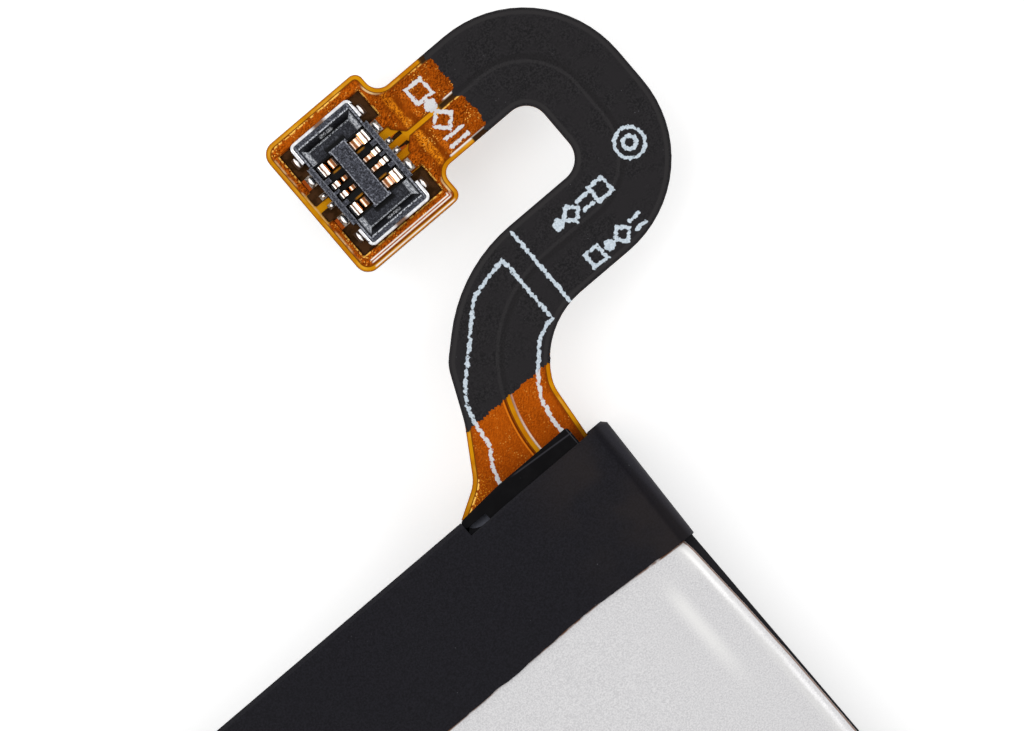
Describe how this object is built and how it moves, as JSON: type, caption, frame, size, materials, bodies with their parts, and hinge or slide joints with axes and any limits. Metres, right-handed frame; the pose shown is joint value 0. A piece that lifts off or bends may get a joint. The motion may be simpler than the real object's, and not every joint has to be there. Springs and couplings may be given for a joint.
{
  "type": "mobile phone battery",
  "caption": "Slim silver pouch battery with a black taped head and an S-shaped amber and black flat flex ending in a small board socket.",
  "frame": {"origin": "centre of the cell's flat back, in the plane the battery lies on", "axes": "+X to the right across the width, +Y along the length towards the head and the flex, +Z out of the front face"},
  "size_m": [0.0521, 0.1027, 0.0047],
  "materials": {
    "foil": "satin",
    "black_tape": "satin",
    "gloss_black": "gloss",
    "black_moulding": "satin",
    "board_laminate": "satin",
    "chip_black": "matte",
    "chip_ceramic": "matte",
    "tab_aluminium": "satin",
    "tab_nickel": "satin",
    "insulating_paper": "matte",
    "amber_film": "gloss",
    "copper": "satin",
    "black_film": "matte",
    "stiffener_plate": "matte",
    "socket_plastic": "satin",
    "contact_gold": "gloss",
    "bright_metal": "gloss",
    "solder": "satin"
  },
  "bodies": {
    "root": {"pouch_cell": "foil", "back_film": "black_tape", "head_wrap_tape": "black_tape", "pcm_holder": "black_moulding", "flex_exit_strip": "gloss_black", "terrace_insulator": "insulating_paper", "positive_tab": "tab_aluminium", "negative_tab": "tab_nickel", "pcm_board": "board_laminate", "protection_ic": "chip_black", "mosfet_pair": "chip_black", "sense_resistor": "chip_black", "thermistor": "chip_ceramic", "ceramic_capacitors": "chip_ceramic", "root_solder_joints": "solder", "copper_power_outer": "copper", "copper_power_inner": "copper", "copper_signal_tracks": "copper", "flex_base_film": "amber_film", "flex_back_coverlay": "amber_film", "flex_coverlay": "amber_film", "flex_black_front": "black_film", "flex_black_back": "black_film", "connector_stiffener": "stiffener_plate", "connector_housing": "socket_plastic", "hold_down_upper": "bright_metal", "hold_down_lower": "bright_metal", "connector_solder_joints": "solder", "power_contact_1": "contact_gold", "signal_contact_1": "contact_gold", "power_contact_2": "contact_gold", "signal_contact_2": "contact_gold", "power_contact_3": "contact_gold", "signal_contact_3": "contact_gold", "power_contact_4": "contact_gold", "signal_contact_4": "contact_gold"}
  },
  "joints": []
}
